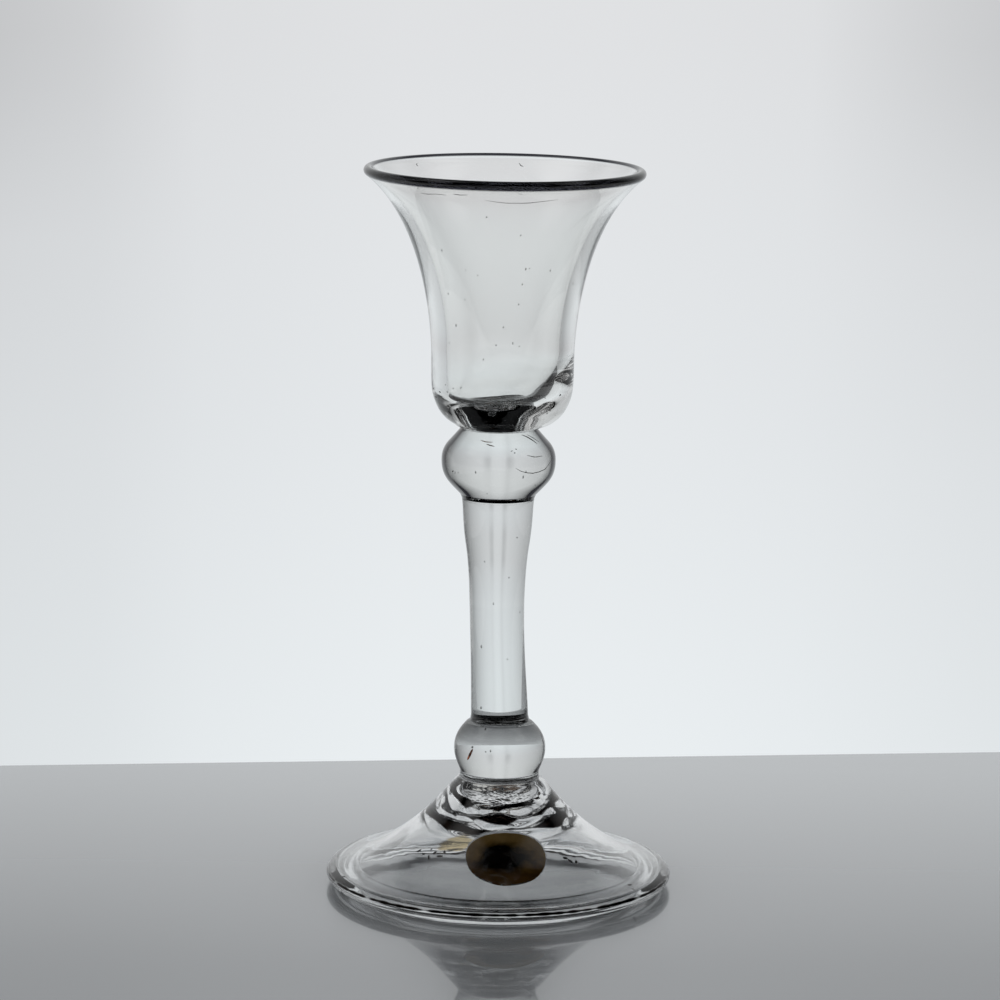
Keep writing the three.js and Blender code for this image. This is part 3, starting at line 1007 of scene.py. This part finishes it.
def makeFoot(line):
    # the foot's own outline, with its last stretch taken from the stem's eased one
    j = jointShape
    neckRadius = np.interp(footTop, line[:, 1], line[:, 0])
    own = footOutline()[:-1]
    shared = (own[:, 1] > footTop - j["footCut"]) & (own[:, 0] < neckRadius + j["footReach"])
    tail = cutBetween(line, footTop - j["footOverlap"], footTop, j["spacing"])
    profile = np.concatenate([own[~shared], tail])
    columns = roundSteps["foot"]
    mesh = revolved("foldedFoot", profile, columns, True, True, footRelief, stones(footFlaws["stones"], 2))
    markFoot(mesh, profile, columns)
    addPiece("foldedFoot", mesh, "foot", [footGlass, fusedJoint, darkStone])


def makeStemPiece(name, node, line, low, high, spacing, flaws, materials):
    profile = cutBetween(line, low, high, spacing)
    mesh = revolved(name, profile, roundSteps["stem"], True, True, bubbles=flaws)
    addPiece(name, mesh, node, materials)


def makeStemPieces(line):
    close = jointShape["spacing"]
    streak = speck(baseFlaws["rust"], baseFlaws["rustStretch"], baseFlaws["rustLean"], 2)
    flaws = airSeeds(baseFlaws["seeds"]) + [streak]
    glasses = [stemGlass, fusedJoint]
    makeStemPiece("baseKnop", "base_knop", line, footTop, knopTop, close, flaws, [*glasses, rustStone])
    flaws = airSeeds(stemFlaws["seeds"])
    makeStemPiece("drawnStem", "stem", line, knopTop, stemTop, 2 * close, flaws, glasses)
    flaws = airSeeds(upperFlaws["seeds"]) + stones(upperFlaws["stones"], 3)
    flaws = flaws + hairs(upperFlaws["hairs"], 3) + hairs(upperFlaws["stains"], 2)
    makeStemPiece("upperKnop", "upper_knop", line, stemTop, neckHeight, close, flaws,
                  [knopGlass, fusedJoint, brownStone, darkStone])


def makeBowl(line):
    profile = bowlOutline(line)
    columns = roundSteps["bowl"]
    flaws = airSeeds(bowlFlaws["seeds"]) + stones(bowlFlaws["stones"], 2) + hairs(bowlFlaws["hairs"], 2)
    mesh = revolved("bellBowl", profile, columns, True, False, bowlRelief, flaws)
    markLip(mesh, profile, columns)
    addPiece("bellBowl", mesh, "bowl", [bowlGlass, fusedJoint, darkStone])


stemLine = stemOutline()
makeFoot(stemLine)
makeStemPieces(stemLine)
makeBowl(stemLine)
print("glass pieces made")


# Pontil scar, where the iron was cracked off

scarShape = {
    "radius": footShape["scarRadius"],
    "depth": 1.45 * mm,
    "ring": 0.55,
    "hollow": 0.5 * mm,
    "roughness": 0.16 * mm,
    "smoothEdge": (4.6 * mm, 5.5 * mm),
}


def scarOutline():
    # from the rough middle out to the ring where it was fused to the crown: hollow inside its lowest ring
    s = scarShape
    t = np.linspace(0.02, 1, 60)[:, None]
    outer = s["depth"] * (1 - np.abs((t - s["ring"]) / (1.02 - s["ring"])).clip(0, 1) ** 2.2)
    inner = s["depth"] - s["hollow"] * (1 - t / s["ring"]) ** 2
    sag = np.where(t < s["ring"], inner, outer)
    return np.concatenate([t * s["radius"], footTop - footShape["crown"] - sag], 1)


def scarRelief(radius, height, turn):
    # chipped glass: conchoidal steps from folded sine waves, none at the fused ring
    x, y = radius * np.cos(turn), radius * np.sin(turn)
    wave = np.abs(np.sin(x * 1150 + 2.1 * np.sin(y * 640)))
    wave = wave + np.abs(np.sin(y * 1430 + 1.7 * np.sin(x * 820 + 1)))
    fine = np.abs(np.sin(x * 4100 + 3 * y * 900)) * np.abs(np.sin(y * 3700 - x * 1300))
    fade = 1 - smoothStep(radius, *scarShape["smoothEdge"])
    lift = scarShape["roughness"] * fade * (0.62 * wave + 0.35 * fine)
    return np.stack([0 * lift, 0 * lift, lift], -1)


def makeScar():
    mesh = revolved("pontilScar", scarOutline(), roundSteps["scar"], False, True, scarRelief)
    addPiece("pontilScar", mesh, "pontil_mark", [scarGlass, fusedJoint])


# Sticker under the foot, seen through the glass

paperLook = {
    "varnish": [
        (0.10, (0.14, 0.062, 0.010)), (0.35, (0.10, 0.045, 0.008)), (0.62, (0.22, 0.125, 0.028)),
        (1.0, (0.36, 0.235, 0.085)),
    ],
    "rise": (75.0, 1.32),
    "darkMiddle": [(0.70, 0.02), (1.0, 1)],
    "middle": (-0.2, 5.1, 0),
    "span": (200, 300, 0),
    "darkReach": 0.6,
    "back": (0.50, 0.53, 0.56, 1),
    "patches": {"scale": 300, "detail": 6},
    "fibres": {"scale": 2200, "detail": 3},
    "emboss": (0.05 * mm, 0.6),
    "look": {"Roughness": 0.7, "Specular IOR Level": 0.0},
}


def makeSticker():
    # an oval bent to the underside: rings from the middle outwards, then over the edge and back underneath
    p = stickerShape
    underside = undersideOutline()
    outwards = np.linspace(0.02, 1, p["rings"])
    reach = np.concatenate([outwards, outwards[::-1]])[:, None]
    below = np.repeat([0, 1], p["rings"])[:, None]
    turn = fullTurn(roundSteps["sticker"])
    ragged = 1 + 0.003 * np.sin(7 * turn + 1) + 0.002 * np.sin(13 * turn)
    across = p["width"] / 2 * reach * ragged * np.cos(turn)
    along = p["length"] / 2 * reach * ragged * np.sin(turn)
    out = p["radius"] - along
    angle = math.radians(p["turn"]) + across / out
    under = np.interp(out, underside[:, 0], underside[:, 1])
    lift = p["ripple"] * np.sin(across * 900) * np.sin(along * 1100 + 1) * reach
    z = under - p["clearance"] - p["thickness"] * below + lift - p["ripple"]
    grid = np.stack([out * np.cos(angle), out * np.sin(angle), z], -1)
    mesh = closedMesh("ovalSticker", grid, False, False)
    addPiece("ovalSticker", mesh, "sticker", [stickerPaper])


def makeStickerPaper():
    # dark varnished paper: olive at the top of the oval, brown below, black towards the middle, and a pale
    # back
    p = paperLook
    material, tree, inputs = newMaterial("stickerPaper", p["look"])
    point = objectPoint(tree)
    patches = noise(tree, point, **p["patches"])
    rise = maths(tree, "MULTIPLY_ADD", axisOf(tree, point, "Y"), *p["rise"])
    varnish = toneRamp(tree, maths(tree, "ADD", rise, patches), p["varnish"])
    centred = addNode(tree, "Mapping", {"Vector": point, "Location": p["middle"], "Scale": p["span"]})
    away = addNode(tree, "VectorMath", {0: centred.outputs["Vector"]}, operation="LENGTH").outputs["Value"]
    edge = maths(tree, "MULTIPLY", maths(tree, "ADD", away, patches), p["darkReach"])
    front = mixTones(tree, "MULTIPLY", 1, varnish, toneRamp(tree, edge, p["darkMiddle"]))
    upright = axisOf(tree, addNode(tree, "NewGeometry").outputs["True Normal"], "Z")
    paper = mixTones(tree, "MIX", maths(tree, "LESS_THAN", upright, 0), front, p["back"])
    feed(tree, inputs["Base Color"], paper)
    feed(tree, inputs["Normal"], bumped(tree, noise(tree, point, **p["fibres"]), *p["emboss"]))
    return material


stickerPaper = makeStickerPaper()
makeScar()
makeSticker()
print("scar and sticker made")


# Table top and studio

tableShape = {"turn": 6.0, "edge": 97.6 * mm, "length": 0.5, "width": 0.4, "thickness": 8 * mm}
tableFilm = [  # black from above, grey at a low look
    (0.26, (0.004, 0.004, 0.005)), (0.41, (0.19, 0.195, 0.205)), (0.66, (0.19, 0.195, 0.205)),
    (0.705, (0.085, 0.09, 0.105)), (0.75, (0.19, 0.195, 0.205)),
]
# sheen weight from the front to the back: dust haze, and painted light that grows towards the bright
# backdrop
tableHazeAndGlow = (-50 * mm, 90 * mm, 0.36)
tableGloss = {
    "Metallic": 1.0,
    "Roughness": 0.25,
    "Coat Weight": 1.0,
    "Coat Roughness": 0.03,
    "Coat IOR": 1.45,
    "Sheen Roughness": 0.36,
    "Sheen Tint": (0.92, 0.97, 1.0, 1),
}


def makeTable():
    # a dark polished slab with a thin film of dust: a mirror and a haze at a low look, dark from above; the
    # haze grows towards the back, partly the dust and partly a painted glow of the backdrop's light
    t = tableShape
    corners = [(x, y, z) for z in (-t["thickness"], 0)
               for x, y in ((-0.5, -1), (0.5, -1), (0.5, 0), (-0.5, 0))]
    faces = [(3, 2, 1, 0), (4, 5, 6, 7), (0, 1, 5, 4), (1, 2, 6, 5), (2, 3, 7, 6), (3, 0, 4, 7)]
    turn = Matrix.Translation((0, t["edge"], 0)) @ Matrix.Rotation(math.radians(t["turn"]), 4, "Z")
    mesh = bpy.data.meshes.new("tableTop")
    points = [turn @ Vector((x * t["width"], y * t["length"], z)) for x, y, z in corners]
    mesh.from_pydata(points, [], faces)
    mesh.update()
    table = bpy.data.objects.new("tableTop", mesh)
    bpy.context.scene.collection.objects.link(table)
    material, tree, inputs = newMaterial("tableGloss", tableGloss)
    # painted light: the sheen grows towards the backdrop, as if lit by it
    haze = spread(tree, axisOf(tree, objectPoint(tree), "Y"), *tableHazeAndGlow)
    feed(tree, inputs["Sheen Weight"], haze)
    low = addNode(tree, "LayerWeight").outputs["Facing"]
    feed(tree, inputs["Base Color"], toneRamp(tree, low, tableFilm))
    mesh.materials.append(material)


# Lights of the studio, as stops of (degrees to the right of the back, tone) and of (degrees upwards, tone)
studioLights = {
    "back": (
        [(-105, 0.0), (-92, 0.30), (-75, 0.55), (-60, 0.64), (-50, 0.70), (-40, 0.76), (-30, 0.83),
         (-20, 0.90), (-12, 0.95), (-9, 0.93), (-6.5, 0.875), (-4, 0.965), (-1.5, 1.0), (2, 1.0), (5, 0.97),
         (6.5, 0.92), (9, 0.93), (12, 0.94), (20, 0.88), (30, 0.76), (40, 0.62), (50, 0.46), (60, 0.26),
         (68, 0.06), (85, 0.0)],
        [(-90, 0.5), (-35, (0.78, 0.81, 0.82)), (-14.5, (0.825, 0.865, 0.885)), (-9, (0.775, 0.80, 0.82)),
         (-4, (0.745, 0.755, 0.77)), (10, (0.75, 0.765, 0.77)), (25, (0.72, 0.735, 0.74)),
         (34, (0.60, 0.61, 0.62)), (39, (0.40, 0.41, 0.42)), (43, 0.02), (90, 0.01)],
    ),
    "front": (
        [(-100, 0.9), (-85, 0.7), (-70, 0.3), (-60, 0.0), (50, 0.0), (62, 0.4), (75, 0.8), (100, 0.9)],
        [(-90, 0.45), (-20, 0.6), (-8, 0.55), (-4, 0.1), (3, 0.004), (90, 0.003)],
    ),
    "wings": (
        [(-125, 0.0), (-105, 1.0), (-50, 1.0), (-38, 0.0), (48, 0.0), (58, 0.75), (92, 0.75), (110, 0.0)],
        [(46, 0.0), (56, 0.5), (60, 0.6), (66, 0.6), (78, 0.2), (90, 0.01)],
    ),
    "glow": (
        [(-130, 0.0), (-118, 1.0), (-96, 1.0), (-84, 0.0), (84, 0.0), (96, 1.0), (118, 1.0), (130, 0.0)],
        [(30, 0.0), (37, 0.5), (47, 0.5), (54, 0.0)],
    ),
}
studioCorners = (
    [(-12, 0.0), (-9, 0.9), (-6.7, 1.0), (-4.2, 0.0), (4.2, 0.0), (6.7, 1.0), (9, 0.9), (12, 0.0)],
    [(-10, 0.0), (-7, 0.2), (-4.5, 1.0), (-2, 0.9), (5, 0.0)],
)
cornerTone = (0.84, 0.84, 0.84, 1)
plainLight = (0.95, 0.95, 0.95, 1)
lightBounces = 32


def makeStudio():
    # the world is a round soft backdrop behind, dark at its two sides and overhead, and pale low down all
    # round; plain matt surfaces are lit evenly
    world = bpy.data.worlds.new("studio")
    bpy.context.scene.world = world
    world.use_nodes = True
    tree = world.node_tree
    direction = addNode(tree, "TexCoord").outputs["Generated"]
    x, y, z = (axisOf(tree, direction, axis) for axis in "XYZ")
    sideShare = maths(tree, "DIVIDE", maths(tree, "ARCTAN2", x, y), 2 * math.pi)
    azimuth = maths(tree, "ADD", sideShare, 0.5)
    elevation = maths(tree, "ADD", maths(tree, "DIVIDE", maths(tree, "ARCSINE", z), math.pi), 0.5)

    def around(stops):
        return toneRamp(tree, azimuth, stops, -180, 180)

    def upwards(stops):
        return toneRamp(tree, elevation, stops, -90, 90)

    lit = None
    for sideways, up in studioLights.values():
        light = mixTones(tree, "MULTIPLY", 1, around(sideways), upwards(up))
        lit = light if lit is None else mixTones(tree, "ADD", 1, lit, light)
    corners = maths(tree, "MULTIPLY", around(studioCorners[0]), upwards(studioCorners[1]))
    lit = mixTones(tree, "MULTIPLY", corners, lit, cornerTone)
    ray = addNode(tree, "LightPath").outputs
    seeing = maths(tree, "MAXIMUM", ray["Is Camera Ray"], ray["Is Glossy Ray"])
    seeing = maths(tree, "MAXIMUM", seeing, ray["Is Transmission Ray"])
    shown = mixTones(tree, "MIX", seeing, plainLight, lit)
    feed(tree, tree.nodes["Background"].inputs["Color"], shown)


makeTable()
makeStudio()
bpy.context.scene.view_settings.view_transform = "Standard"
for kind in ("max_bounces", "glossy_bounces", "transmission_bounces", "transparent_max_bounces"):
    setattr(bpy.context.scene.cycles, kind, lightBounces)  # light runs on inside the thick walls
print("studio lit")
